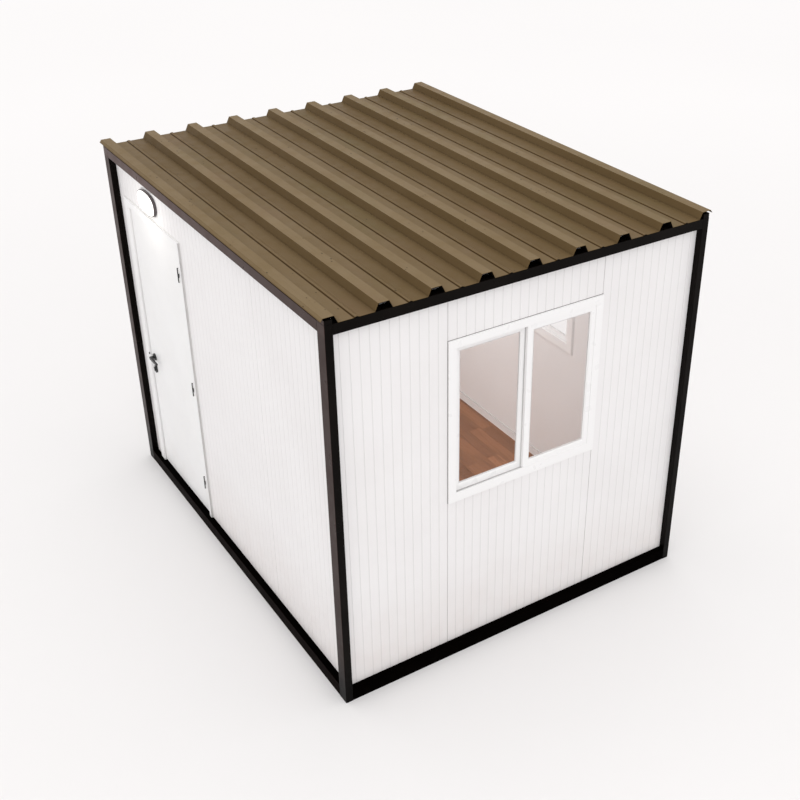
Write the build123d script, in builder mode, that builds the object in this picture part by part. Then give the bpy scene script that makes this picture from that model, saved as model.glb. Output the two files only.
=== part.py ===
"""Security guard booth: steel frame, ribbed sandwich walls, trapezoidal roof sheet,
two sliding windows and an outward-opening door with a lever handle.

Millimetres. +Z is up, -Y is the front wall with the window, -X is the wall with the door.
The origin is the middle of the footprint, on the floor that the booth stands on.
"""

from build123d import *
import math
import os

# Overall sizes
BOOTH_WIDTH = 2400.0
BOOTH_LENGTH = 3000.0
FRAME_HEIGHT = 2372.0

# Steel frame
POST_WIDTH = 45.0
BOTTOM_BEAM_HEIGHT = 83.0
TOP_BEAM_HEIGHT = 58.0
TOP_BEAM_DEPTH = 60.0
FRAME_EDGE_RADIUS = 3.0

# Wall panels
WALL_THICKNESS = 40.0
FRONT_RECESS = 37.0
SIDE_RECESS = 42.0
PANEL_WIDTH = 1000.0
GROOVES_PER_PANEL = 18
GROOVE_WIDTH = 6.0
GROOVE_DEPTH = 1.5
JOINT_DEPTH = 4.0

# Floor
DECK_THICKNESS = 22.0
DECK_DROP = 3.0
JOIST_COUNT = 5
JOIST_WIDTH = 50.0
SKIRTING_HEIGHT = 60.0
SKIRTING_THICKNESS = 10.0

# Roof sheet
RIB_COUNT = 9
RIB_HEIGHT = 40.0
RIB_TOP_WIDTH = 58.0
RIB_FLANK_RUN = 20.0
EDGE_RIB_INSET = 24.0
EDGE_LIP_RUN = 12.0
EDGE_LIP_DROP = 16.0
STIFFENER_BASE_WIDTH = 26.0
STIFFENER_TOP_WIDTH = 10.0
STIFFENER_HEIGHT = 5.0
SHEET_THICKNESS = 1.2

# Sliding windows
WINDOW_WIDTH = 1000.0
WINDOW_HEIGHT = 994.0
WINDOW_HEAD_DROP = 240.0
WINDOW_PROUD = 12.0
WINDOW_FRAME_FACE = 48.0
WINDOW_SILL_FACE = 58.0
TRACK_DEPTH = 10.0
TRACK_FIRST = 2.0
TRACK_WIDTH = 19.0
TRACK_GAP = 2.0
SASH_THICKNESS = 18.0
SASH_FACE = 42.0
SASH_CLEARANCE = 3.0
SASH_LAP = 12.0
BEAD = 6.0
BEAD_SLOPE = 45.0
GLASS_THICKNESS = 5.0

# Door
DOOR_WIDTH = 810.0
DOOR_HEIGHT = 1950.0
DOOR_FROM_BACK = 650.0
HINGE_JAMB_FACE = 28.0
LOCK_JAMB_FACE = 65.0
HEAD_FACE = 47.0
CASING_PROUD = 14.0
CASING_EDGE_RADIUS = 2.0
LEAF_THICKNESS = 38.0
LEAF_CLEARANCE = 5.0
STOP_WIDTH = 12.0

# Hinges
HINGE_HEIGHT = 90.0
HINGE_CENTERS = (275.0, 990.0, 1783.0)
KNUCKLES_PER_HINGE = 3
BARREL_RADIUS = 5.0
PIN_RADIUS = 2.5
PIN_CLEARANCE = 0.3
KNUCKLE_GAP = 0.6
HINGE_STANDOFF = 1.0
HINGE_LUG_WIDTH = 9.0

# Handle and lock
HANDLE_HEIGHT = 882.0
HANDLE_BACKSET = 66.0
LOCK_DROP = 90.0
ROSE_RADIUS = 25.0
ROSE_THICKNESS = 10.0
NECK_RADIUS = 11.0
LEVER_STANDOFF = 18.0
LEVER_THICKNESS = 11.0
LEVER_LENGTH = 118.0
LEVER_TIP_RADIUS = 7.0
HANDLE_CLEARANCE = 1.0
SPINDLE_RADIUS = 5.0
SPINDLE_CLEARANCE = 0.5
LOCK_WIDTH = 32.0
LOCK_HEIGHT = 62.0
UPRIGHT = 90.0

# Oval lamp over the door
LAMP_LENGTH = 272.0
LAMP_DROP = 146.0
LAMP_CORNER_RADIUS = 60.0
LAMP_BODY_DEPTH = 20.0
LAMP_RIM = 6.0
LAMP_COVER_DEPTH = 6.0
LAMP_COVER_BEVEL = 4.0
LAMP_HEIGHT = 2182.0
LAMP_OFFSET = 25.0

# Planes worked out from the sizes above
x_out = BOOTH_WIDTH / 2
y_out = BOOTH_LENGTH / 2
x_wall = x_out - SIDE_RECESS
y_wall = y_out - FRONT_RECESS
x_room = x_wall - WALL_THICKNESS
y_room = y_wall - WALL_THICKNESS
post_depth = FRONT_RECESS + WALL_THICKNESS
side_beam_depth = SIDE_RECESS + WALL_THICKNESS
x_post = x_out - POST_WIDTH
y_post = y_out - post_depth
wall_low = BOTTOM_BEAM_HEIGHT
wall_high = FRAME_HEIGHT - TOP_BEAM_HEIGHT
deck_top = BOTTOM_BEAM_HEIGHT - DECK_DROP
joist_height = deck_top - DECK_THICKNESS

window_top = wall_high - WINDOW_HEAD_DROP
window_low = window_top - WINDOW_HEIGHT

door_middle = y_out - DOOR_FROM_BACK
door_low_y = door_middle - DOOR_WIDTH / 2
door_high_y = door_middle + DOOR_WIDTH / 2
casing_low_y = door_low_y - HINGE_JAMB_FACE
casing_high_y = door_high_y + LOCK_JAMB_FACE
casing_middle = (casing_low_y + casing_high_y) / 2
casing_width = casing_high_y - casing_low_y
door_top = wall_low + DOOR_HEIGHT
casing_top = door_top + HEAD_FACE
leaf_outer_x = -x_wall
leaf_inner_x = leaf_outer_x + LEAF_THICKNESS
handle_y = door_high_y - LEAF_CLEARANCE - HANDLE_BACKSET
handle_z = wall_low + HANDLE_HEIGHT
lock_z = handle_z - LOCK_DROP
hinge_x = -x_wall - CASING_PROUD - HINGE_STANDOFF - BARREL_RADIUS
hinge_y = door_low_y + LEAF_CLEARANCE / 2

# Wall planes. A plan plane has its X axis along the wall, to the right as seen from
# outside, its Y axis inwards and its origin on the wall's outer face. An elevation
# plane has the same X axis, its Y axis up and its normal outwards.
wall_origins = {
    "front": ((0, -y_wall, 0), (1, 0, 0), (0, -1, 0)),
    "right": ((x_wall, 0, 0), (0, 1, 0), (1, 0, 0)),
    "back": ((0, y_wall, 0), (-1, 0, 0), (0, 1, 0)),
    "left": ((-x_wall, 0, 0), (0, -1, 0), (-1, 0, 0)),
}
plan = {
    side: Plane(origin=origin, x_dir=along, z_dir=(0, 0, 1))
    for side, (origin, along, outward) in wall_origins.items()
}
elevation = {
    side: Plane(origin=origin, x_dir=along, z_dir=outward)
    for side, (origin, along, outward) in wall_origins.items()
}

os.makedirs("parts", exist_ok=True)


def save(piece, name):
    """Label a finished piece and write its STEP file."""
    piece.part.label = name
    export_step(piece.part, f"parts/{name}.step")


def bar(x_range, y_range, z_range, edges_along=None):
    """Straight steel section between the given limits, its long edges slightly rounded."""
    with BuildPart() as section:
        with BuildSketch(Plane.XY.offset(z_range[0])):
            with Locations(((x_range[0] + x_range[1]) / 2, (y_range[0] + y_range[1]) / 2)):
                Rectangle(x_range[1] - x_range[0], y_range[1] - y_range[0])
        extrude(amount=z_range[1] - z_range[0])
        if edges_along is not None:
            fillet(section.edges().filter_by(edges_along), radius=FRAME_EDGE_RADIUS)
    return section


# Steel frame: corner posts, bottom beams, top beams
for end, y_sign in (("front", -1), ("back", 1)):
    for side, x_sign in (("left", -1), ("right", 1)):
        x_range = sorted((x_sign * x_post, x_sign * x_out))
        y_range = sorted((y_sign * y_post, y_sign * y_out))
        save(bar(x_range, y_range, (0, FRAME_HEIGHT), Axis.Z), f"post_{end}_{side}")

beam_levels = {"bottom": (0, BOTTOM_BEAM_HEIGHT), "top": (wall_high, FRAME_HEIGHT)}
beam_depths = {
    "bottom": (post_depth, side_beam_depth),
    "top": (TOP_BEAM_DEPTH, TOP_BEAM_DEPTH),
}
for level, z_range in beam_levels.items():
    end_depth, side_depth = beam_depths[level]
    for end, y_sign in (("front", -1), ("back", 1)):
        y_range = sorted((y_sign * (y_out - end_depth), y_sign * y_out))
        save(bar((-x_post, x_post), y_range, z_range, Axis.X), f"{level}_beam_{end}")
    for side, x_sign in (("left", -1), ("right", 1)):
        x_range = sorted((x_sign * (x_out - side_depth), x_sign * x_out))
        save(bar(x_range, (-y_post, y_post), z_range, Axis.Y), f"{level}_beam_{side}")

# Floor joists between the side beams, and the deck that they carry
joist_pitch = 2 * y_room / (JOIST_COUNT + 1)
with BuildPart() as floor_joists:
    with BuildSketch():
        with GridLocations(0, joist_pitch, 1, JOIST_COUNT):
            Rectangle(2 * x_room, JOIST_WIDTH)
    extrude(amount=joist_height)
save(floor_joists, "floor_joists")

with BuildPart() as floor_deck:
    with BuildSketch(Plane.XY.offset(joist_height)):
        Rectangle(2 * x_room, 2 * y_room)
    extrude(amount=DECK_THICKNESS)
save(floor_deck, "floor_deck")

# Skirting round the room, open at the door
with BuildPart() as skirting:
    with BuildSketch(Plane.XY.offset(deck_top)):
        Rectangle(2 * x_room, 2 * y_room)
        Rectangle(
            2 * (x_room - SKIRTING_THICKNESS),
            2 * (y_room - SKIRTING_THICKNESS),
            mode=Mode.SUBTRACT,
        )
        with Locations((-x_room, casing_middle)):
            Rectangle(2 * SKIRTING_THICKNESS, casing_width, mode=Mode.SUBTRACT)
    extrude(amount=SKIRTING_HEIGHT)
save(skirting, "skirting")


# Wall panels
def wall_panel(side, start, stop, low, high, joint):
    """Sandwich panel from start to stop along a wall, grooved at an even pitch.

    The grooves are counted from a panel joint, and a chamfer on each end makes
    the joint itself a deeper groove.
    """
    pitch = PANEL_WIDTH / GROOVES_PER_PANEL
    half = GROOVE_WIDTH / 2
    first = math.floor((start - joint) / pitch) + 1
    last = math.ceil((stop - joint) / pitch) - 1
    grooves = [
        joint + number * pitch
        for number in range(first, last + 1)
        if start + GROOVE_WIDTH < joint + number * pitch < stop - GROOVE_WIDTH
    ]
    outline = [(start, JOINT_DEPTH), (start + half, 0)]
    for middle in grooves:
        outline += [(middle - half, 0), (middle, GROOVE_DEPTH), (middle + half, 0)]
    outline += [(stop - half, 0), (stop, JOINT_DEPTH)]
    outline += [(stop, WALL_THICKNESS), (start, WALL_THICKNESS)]
    with BuildPart() as panel:
        with BuildSketch(plan[side].offset(low)):
            with BuildLine():
                Polyline(*outline, close=True)
            make_face()
        extrude(amount=high - low)
    return panel


half_window = WINDOW_WIDTH / 2
half_panel = PANEL_WIDTH / 2
for side, reach in (("front", x_post), ("right", y_room)):
    ends = {
        "front": ("front_wall_left", "front_wall_right"),
        "right": ("right_wall_front", "right_wall_back"),
    }[side]
    save(wall_panel(side, -reach, -half_window, wall_low, wall_high, -half_window), ends[0])
    save(wall_panel(side, half_window, reach, wall_low, wall_high, half_window), ends[1])
    save(
        wall_panel(side, -half_window, half_window, wall_low, window_low, -half_window),
        f"{side}_wall_below_window",
    )
    save(
        wall_panel(side, -half_window, half_window, window_top, wall_high, -half_window),
        f"{side}_wall_above_window",
    )

back_panels = {
    "back_wall_right": (-x_post, -half_panel),
    "back_wall_middle": (-half_panel, half_panel),
    "back_wall_left": (half_panel, x_post),
}
for name, (start, stop) in back_panels.items():
    save(wall_panel("back", start, stop, wall_low, wall_high, half_panel), name)

left_joint = -(casing_low_y - PANEL_WIDTH)
save(
    wall_panel("left", left_joint, y_room, wall_low, wall_high, left_joint),
    "left_wall_front",
)
save(
    wall_panel("left", -casing_low_y, left_joint, wall_low, wall_high, left_joint),
    "left_wall_middle",
)
save(
    wall_panel("left", -casing_high_y, -casing_low_y, casing_top, wall_high, left_joint),
    "left_wall_over_door",
)
save(
    wall_panel("left", -y_room, -casing_high_y, wall_low, wall_high, left_joint),
    "left_wall_back",
)

# Ceiling panel, bearing on the tops of the walls between the top beams
with BuildPart() as ceiling_panel:
    with BuildSketch(Plane.XY.offset(wall_high)):
        Rectangle(2 * (x_out - TOP_BEAM_DEPTH), 2 * (y_out - TOP_BEAM_DEPTH))
    extrude(amount=TOP_BEAM_HEIGHT)
save(ceiling_panel, "ceiling_panel")


# Roof sheet
def roof_underside():
    """Points of the sheet's underside across the booth, from lip to lip."""
    rib_pitch = 2 * (x_out - EDGE_RIB_INSET) / (RIB_COUNT - 1)
    half_top = RIB_TOP_WIDTH / 2
    half_base = half_top + RIB_FLANK_RUN
    low = FRAME_HEIGHT
    high = FRAME_HEIGHT + RIB_HEIGHT
    middles = [-x_out + EDGE_RIB_INSET + number * rib_pitch for number in range(RIB_COUNT)]
    points = [(middles[0] - half_top - EDGE_LIP_RUN, high - EDGE_LIP_DROP)]
    for number, middle in enumerate(middles):
        if number > 0:
            stiffener = middle - rib_pitch / 2
            points += [
                (stiffener - STIFFENER_BASE_WIDTH / 2, low),
                (stiffener - STIFFENER_TOP_WIDTH / 2, low + STIFFENER_HEIGHT),
                (stiffener + STIFFENER_TOP_WIDTH / 2, low + STIFFENER_HEIGHT),
                (stiffener + STIFFENER_BASE_WIDTH / 2, low),
                (middle - half_base, low),
            ]
        points += [(middle - half_top, high), (middle + half_top, high)]
        if number < RIB_COUNT - 1:
            points.append((middle + half_base, low))
    points.append((middles[-1] + half_top + EDGE_LIP_RUN, high - EDGE_LIP_DROP))
    return points


with BuildPart() as roof_sheet:
    with BuildSketch(Plane.XZ.offset(-y_out)):
        with BuildLine():
            underside = Polyline(*roof_underside())
            offset(
                underside,
                amount=SHEET_THICKNESS,
                side=Side.LEFT,
                kind=Kind.INTERSECTION,
                closed=True,
                mode=Mode.REPLACE,
            )
        make_face()
    extrude(amount=BOOTH_LENGTH)
save(roof_sheet, "roof_sheet")

# Sliding windows, drawn on a wall's elevation plane
opening_width = WINDOW_WIDTH - 2 * WINDOW_FRAME_FACE
opening_height = WINDOW_HEIGHT - WINDOW_FRAME_FACE - WINDOW_SILL_FACE
opening_middle = window_low + WINDOW_SILL_FACE + opening_height / 2
window_frame_depth = WALL_THICKNESS + 2 * WINDOW_PROUD
sash_reach = opening_width / 2 + TRACK_DEPTH - SASH_CLEARANCE
sash_width = sash_reach + SASH_LAP / 2
sash_height = opening_height + 2 * (TRACK_DEPTH - SASH_CLEARANCE)
pane_width = sash_width - 2 * SASH_FACE
pane_height = sash_height - 2 * SASH_FACE
track_fronts = (TRACK_FIRST, TRACK_FIRST + TRACK_WIDTH + TRACK_GAP)
sash_slack = (TRACK_WIDTH - SASH_THICKNESS) / 2
glass_setback = (SASH_THICKNESS - GLASS_THICKNESS) / 2

# The outer track holds the right-hand sash and the inner track the left-hand one
sash_places = [
    (side_sign * (sash_reach - sash_width / 2), track_front + sash_slack)
    for side_sign, track_front in zip((1, -1), track_fronts)
]


def window_frame(face):
    """Outer frame with a channel for each sash round the inside of the opening."""
    front = face.offset(WINDOW_PROUD)
    with BuildPart() as frame:
        with BuildSketch(front):
            with Locations((0, window_low + WINDOW_HEIGHT / 2)):
                Rectangle(WINDOW_WIDTH, WINDOW_HEIGHT)
            with Locations((0, opening_middle)):
                Rectangle(opening_width, opening_height, mode=Mode.SUBTRACT)
        extrude(amount=-window_frame_depth)
        for track_front in track_fronts:
            with BuildSketch(front.offset(-track_front)):
                with Locations((0, opening_middle)):
                    Rectangle(
                        opening_width + 2 * TRACK_DEPTH, opening_height + 2 * TRACK_DEPTH
                    )
            extrude(amount=-TRACK_WIDTH, mode=Mode.SUBTRACT)
    return frame


def window_sashes(face):
    """Two sliding sashes with bevelled glazing beads."""
    with BuildPart() as sashes:
        for middle, setback in sash_places:
            sash_front = face.offset(WINDOW_PROUD - setback)
            with BuildSketch(sash_front):
                with Locations((middle, opening_middle)):
                    Rectangle(sash_width, sash_height)
                    Rectangle(pane_width, pane_height, mode=Mode.SUBTRACT)
            extrude(amount=-SASH_THICKNESS)
            with BuildSketch(sash_front):
                with Locations((middle, opening_middle)):
                    Rectangle(pane_width + 2 * BEAD, pane_height + 2 * BEAD)
            extrude(amount=-BEAD, taper=BEAD_SLOPE, mode=Mode.SUBTRACT)
    return sashes


def window_glass(face):
    """One pane in each sash."""
    with BuildPart() as glass:
        for middle, setback in sash_places:
            with BuildSketch(face.offset(WINDOW_PROUD - setback - glass_setback)):
                with Locations((middle, opening_middle)):
                    Rectangle(pane_width, pane_height)
            extrude(amount=-GLASS_THICKNESS)
    return glass


for side in ("front", "right"):
    save(window_frame(elevation[side]), f"{side}_window_frame")
    save(window_sashes(elevation[side]), f"{side}_window_sashes")
    save(window_glass(elevation[side]), f"{side}_window_glass")

# Door frame: casing proud of the wall on both sides, with a stop that the leaf shuts on
casing_depth = WALL_THICKNESS + 2 * CASING_PROUD
stop_setback = CASING_PROUD + LEAF_THICKNESS + LEAF_CLEARANCE
with BuildPart() as door_frame:
    with BuildSketch(Plane.YZ.offset(-x_wall - CASING_PROUD)):
        with Locations((casing_middle, wall_low)):
            Rectangle(
                casing_width, DOOR_HEIGHT + HEAD_FACE, align=(Align.CENTER, Align.MIN)
            )
        with Locations((door_middle, wall_low)):
            Rectangle(
                DOOR_WIDTH,
                DOOR_HEIGHT,
                align=(Align.CENTER, Align.MIN),
                mode=Mode.SUBTRACT,
            )
    extrude(amount=casing_depth)
    front_edges = door_frame.faces().sort_by(Axis.X)[0].edges()
    fillet(
        front_edges.filter_by(lambda edge: edge.center().Z > wall_low + CASING_EDGE_RADIUS),
        CASING_EDGE_RADIUS,
    )
    with BuildSketch(Plane.YZ.offset(-x_wall - CASING_PROUD + stop_setback)):
        with Locations((door_middle, wall_low)):
            Rectangle(DOOR_WIDTH, DOOR_HEIGHT, align=(Align.CENTER, Align.MIN))
            Rectangle(
                DOOR_WIDTH - 2 * STOP_WIDTH,
                DOOR_HEIGHT - STOP_WIDTH,
                align=(Align.CENTER, Align.MIN),
                mode=Mode.SUBTRACT,
            )
    extrude(amount=casing_depth - stop_setback)
save(door_frame, "door_frame")

# Door leaf, with the bore for the handle's spindle
with BuildPart() as door_leaf:
    with BuildSketch(Plane.YZ.offset(leaf_outer_x)):
        with Locations((door_middle, wall_low + DOOR_HEIGHT / 2)):
            Rectangle(DOOR_WIDTH - 2 * LEAF_CLEARANCE, DOOR_HEIGHT - 2 * LEAF_CLEARANCE)
        with Locations((handle_y, handle_z)):
            Circle(SPINDLE_RADIUS + SPINDLE_CLEARANCE, mode=Mode.SUBTRACT)
    extrude(amount=LEAF_THICKNESS)
save(door_leaf, "door_leaf")

# Hinges: the end knuckles and the pin are fixed to the frame, the middle one to the leaf
knuckle_height = HINGE_HEIGHT / KNUCKLES_PER_HINGE
casing_face_x = -x_wall - CASING_PROUD
with BuildPart() as door_hinge_pins:
    for middle in HINGE_CENTERS:
        hinge_low = wall_low + middle - HINGE_HEIGHT / 2
        with BuildSketch(Plane.XY.offset(hinge_low)):
            with Locations((hinge_x, hinge_y)):
                Circle(PIN_RADIUS)
        extrude(amount=HINGE_HEIGHT)
        for low in (hinge_low, hinge_low + HINGE_HEIGHT - knuckle_height):
            with BuildSketch(Plane.XY.offset(low)):
                with Locations((hinge_x, hinge_y)):
                    Circle(BARREL_RADIUS)
                    Rectangle(
                        casing_face_x - hinge_x,
                        HINGE_LUG_WIDTH,
                        align=(Align.MIN, Align.MAX),
                    )
            extrude(amount=knuckle_height)
save(door_hinge_pins, "door_hinge_pins")

with BuildPart() as door_hinge_knuckles:
    for middle in HINGE_CENTERS:
        low = wall_low + middle - knuckle_height / 2 + KNUCKLE_GAP
        with BuildSketch(Plane.XY.offset(low)):
            with Locations((hinge_x, hinge_y)):
                Circle(BARREL_RADIUS)
                with Locations((0, LEAF_CLEARANCE / 2)):
                    Rectangle(
                        leaf_outer_x - hinge_x,
                        HINGE_LUG_WIDTH,
                        align=(Align.MIN, Align.MIN),
                    )
                Circle(PIN_RADIUS + PIN_CLEARANCE, mode=Mode.SUBTRACT)
        extrude(amount=knuckle_height - 2 * KNUCKLE_GAP)
save(door_hinge_knuckles, "door_hinge_knuckles")

# Roses and lock escutcheons on both faces of the leaf
with BuildPart() as lock_plates:
    for face_x, outward in ((leaf_outer_x, -1), (leaf_inner_x, 1)):
        with BuildSketch(Plane.YZ.offset(face_x)):
            with Locations((handle_y, handle_z)):
                Circle(ROSE_RADIUS)
                Circle(NECK_RADIUS + HANDLE_CLEARANCE, mode=Mode.SUBTRACT)
            with Locations((handle_y, lock_z)):
                SlotOverall(LOCK_HEIGHT, LOCK_WIDTH, rotation=UPRIGHT)
        extrude(amount=outward * ROSE_THICKNESS)
save(lock_plates, "lock_plates")

# Lever handle: a lever on each side of the leaf, joined by the spindle
with BuildPart() as door_handle:
    for face_x, outward in ((leaf_outer_x, -1), (leaf_inner_x, 1)):
        lever_x = face_x + outward * (ROSE_THICKNESS + LEVER_STANDOFF)
        with BuildSketch(Plane.YZ.offset(face_x + outward * HANDLE_CLEARANCE)):
            with Locations((handle_y, handle_z)):
                Circle(NECK_RADIUS)
        extrude(amount=outward * (ROSE_THICKNESS + LEVER_STANDOFF))
        with BuildSketch(Plane.YZ.offset(lever_x)):
            with Locations((handle_y, handle_z)):
                Circle(NECK_RADIUS)
            with Locations((handle_y - LEVER_LENGTH + LEVER_TIP_RADIUS, handle_z)):
                Circle(LEVER_TIP_RADIUS)
            make_hull()
        extrude(amount=outward * LEVER_THICKNESS)
    with BuildSketch(Plane.YZ.offset(leaf_outer_x - HANDLE_CLEARANCE)):
        with Locations((handle_y, handle_z)):
            Circle(SPINDLE_RADIUS)
    extrude(amount=LEAF_THICKNESS + 2 * HANDLE_CLEARANCE)
save(door_handle, "door_handle")

# Oval lamp over the door: a body on the wall and a bevelled cover inside its rim
lamp_y = door_middle + LAMP_OFFSET
with BuildPart() as lamp_body:
    with BuildSketch(Plane.YZ.offset(-x_wall)):
        with Locations((lamp_y, LAMP_HEIGHT)):
            RectangleRounded(LAMP_LENGTH, LAMP_DROP, LAMP_CORNER_RADIUS)
    extrude(amount=-LAMP_BODY_DEPTH)
save(lamp_body, "lamp_body")

with BuildPart() as lamp_diffuser:
    with BuildSketch(Plane.YZ.offset(-x_wall - LAMP_BODY_DEPTH)):
        with Locations((lamp_y, LAMP_HEIGHT)):
            RectangleRounded(
                LAMP_LENGTH - 2 * LAMP_RIM,
                LAMP_DROP - 2 * LAMP_RIM,
                LAMP_CORNER_RADIUS - LAMP_RIM,
            )
    extrude(amount=-LAMP_COVER_DEPTH)
    chamfer(lamp_diffuser.edges().group_by(Axis.X)[0], length=LAMP_COVER_BEVEL)
save(lamp_diffuser, "lamp_diffuser")
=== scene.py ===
"""Looks of the security guard booth: materials, small fittings, studio and camera.

Metres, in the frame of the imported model: +Z up, -Y the front with the window, -X the door.
"""

import math

import bmesh
import bpy
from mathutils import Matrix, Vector


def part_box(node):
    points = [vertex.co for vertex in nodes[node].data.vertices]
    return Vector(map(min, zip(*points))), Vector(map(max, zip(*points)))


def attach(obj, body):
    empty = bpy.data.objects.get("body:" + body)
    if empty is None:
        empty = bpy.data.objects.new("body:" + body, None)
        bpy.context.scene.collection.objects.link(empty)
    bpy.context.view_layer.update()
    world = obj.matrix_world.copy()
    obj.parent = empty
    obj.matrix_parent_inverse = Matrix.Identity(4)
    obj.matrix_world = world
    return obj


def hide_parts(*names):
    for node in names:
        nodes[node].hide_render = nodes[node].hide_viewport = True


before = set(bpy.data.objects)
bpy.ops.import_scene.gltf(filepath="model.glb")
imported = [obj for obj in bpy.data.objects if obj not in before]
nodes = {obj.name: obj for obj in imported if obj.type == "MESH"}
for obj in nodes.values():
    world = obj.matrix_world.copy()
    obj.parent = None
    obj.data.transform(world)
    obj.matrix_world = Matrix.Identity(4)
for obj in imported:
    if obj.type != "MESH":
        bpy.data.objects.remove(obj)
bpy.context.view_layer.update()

# Sizes of the CAD model that the finishes and small pieces follow
RIB_COUNT = 9
RIB_INSET = 0.024
RIB_HALF_BASE = 0.049
STIFFENER_HALF = 0.013
PANEL_WIDTH = 1.0
GROOVE_PITCH = PANEL_WIDTH / 18
HINGE_BARREL_RADIUS = 0.005
LEAF_CLEARANCE = 0.005
STOP_WIDTH = 0.012
SASH_CLEARANCE = 0.003
FRAME_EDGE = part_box("post_front_right")[1].x
TOP_BEAM_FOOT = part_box("top_beam_left")[0].z

# Sizes of the small pieces that only this script makes
BOARD_WIDTH = 0.192
BOARD_LENGTH = 1.2
BOARD_THICKNESS = 0.008
POST_CAP_RISE = 0.026
FACEPLATE_DROP = 0.045  # from the spindle of the lever to the middle of the faceplate
PIECE_SINK = 0.0004  # how far a small plate reaches into what it sits on


# Shader helpers
class Look:
    """A procedural material built around one Principled shader.

    Options set the shader's sockets, each space in a socket's name written as an underscore.
    """

    def __init__(self, name, **sockets):
        self.material = bpy.data.materials.new(name)
        self.material.use_nodes = True
        self.tree = self.material.node_tree
        self.tree.nodes.clear()
        self.shader = self.add("ShaderNodeBsdfPrincipled")
        self.output = self.add("ShaderNodeOutputMaterial")
        self.tree.links.new(self.shader.outputs["BSDF"], self.output.inputs["Surface"])
        for socket, value in sockets.items():
            self.set(socket.replace("_", " "), value)
        coordinates = self.add("ShaderNodeTexCoord")
        self.place = coordinates.outputs["Object"]
        self.facing = coordinates.outputs["Normal"]
        self.height = None

    def add(self, kind, **properties):
        node = self.tree.nodes.new(kind)
        for name, value in properties.items():
            setattr(node, name, value)
        return node

    def feed(self, socket, value):
        """Links a socket to another one, or sets it to a plain value."""
        if isinstance(value, bpy.types.NodeSocket):
            self.tree.links.new(value, socket)
        else:
            socket.default_value = value

    def set(self, socket, value):
        self.feed(self.shader.inputs[socket], value)

    def math(self, operation, a, b=0.0):
        node = self.add("ShaderNodeMath", operation=operation)
        self.feed(node.inputs[0], a)
        self.feed(node.inputs[1], b)
        return node.outputs[0]

    def axis(self, name, vector=None):
        """One axis of the place on the model, or of another vector."""
        node = self.add("ShaderNodeSeparateXYZ")
        self.feed(node.inputs[0], self.place if vector is None else vector)
        return node.outputs[name]

    def stretched(self, scale, shift=(0, 0, 0)):
        """The place on the model, scaled along each axis to draw a pattern out."""
        node = self.add("ShaderNodeMapping")
        self.feed(node.inputs["Vector"], self.place)
        node.inputs["Scale"].default_value = scale
        node.inputs["Location"].default_value = shift
        return node.outputs[0]

    def noise(self, scale, detail, roughness=0.55, vector=None, distortion=0.0):
        node = self.add("ShaderNodeTexNoise")
        self.feed(node.inputs["Vector"], self.place if vector is None else vector)
        node.inputs["Scale"].default_value = scale
        node.inputs["Detail"].default_value = detail
        node.inputs["Roughness"].default_value = roughness
        node.inputs["Distortion"].default_value = distortion
        return node.outputs[0]

    def cells(self, scale, vector):
        """Distance to the nearest of the points that are scattered over the surface."""
        node = self.add("ShaderNodeTexVoronoi")
        self.feed(node.inputs["Vector"], vector)
        node.inputs["Scale"].default_value = scale
        return node.outputs["Distance"]

    def remap(self, value, low, high, to_low=0.0, to_high=1.0):
        """Carries low..high over to to_low..to_high, with soft ends."""
        node = self.add("ShaderNodeMapRange", interpolation_type="SMOOTHSTEP")
        self.feed(node.inputs["Value"], value)
        for name, number in (
            ("From Min", low),
            ("From Max", high),
            ("To Min", to_low),
            ("To Max", to_high),
        ):
            node.inputs[name].default_value = number
        return node.outputs[0]

    def mix(self, factor, a, b):
        node = self.add("ShaderNodeMix", data_type="RGBA")
        self.feed(node.inputs["Factor"], factor)
        self.feed(node.inputs["A"], (*a, 1.0) if isinstance(a, tuple) else a)
        self.feed(node.inputs["B"], (*b, 1.0) if isinstance(b, tuple) else b)
        return node.outputs["Result"]

    def bump(self, height, depth, strength):
        """Adds a layer of relief, its full height in metres."""
        node = self.add("ShaderNodeBump")
        node.inputs["Strength"].default_value = strength
        node.inputs["Distance"].default_value = depth
        self.feed(node.inputs["Height"], height)
        if self.height is not None:
            self.tree.links.new(self.height, node.inputs["Normal"])
        self.height = node.outputs[0]
        self.set("Normal", self.height)


def give(look, *names):
    """Puts a finish on CAD nodes."""
    for name in names:
        mesh = nodes[name].data
        mesh.materials.clear()
        mesh.materials.append(look.material)


# Mesh helpers
def piece(name, mesh_source, look, body="booth", smooth=False):
    """Turns a bmesh into a piece of the model that rides on a body."""
    bmesh.ops.recalc_face_normals(mesh_source, faces=mesh_source.faces)
    mesh = bpy.data.meshes.new(name)
    mesh_source.to_mesh(mesh)
    mesh_source.free()
    for polygon in mesh.polygons:
        polygon.use_smooth = smooth
    mesh.materials.append(look.material)
    thing = bpy.data.objects.new(name, mesh)
    bpy.context.scene.collection.objects.link(thing)
    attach(thing, body)
    return thing


def add_box(mesh, low, high, bevel=0.0, segments=1):
    """Adds a closed box between two corners, its edges rounded by bevel."""
    low, high = Vector(low), Vector(high)
    made = bmesh.ops.create_cube(mesh, size=1.0)["verts"]
    middle, size = (low + high) / 2, high - low
    for vertex in made:
        vertex.co = Vector(middle[i] + vertex.co[i] * size[i] for i in range(3))
    if bevel:
        edges = {edge for vertex in made for edge in vertex.link_edges}
        bmesh.ops.bevel(
            mesh, geom=list(edges), offset=bevel, segments=segments, affect="EDGES"
        )


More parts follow.
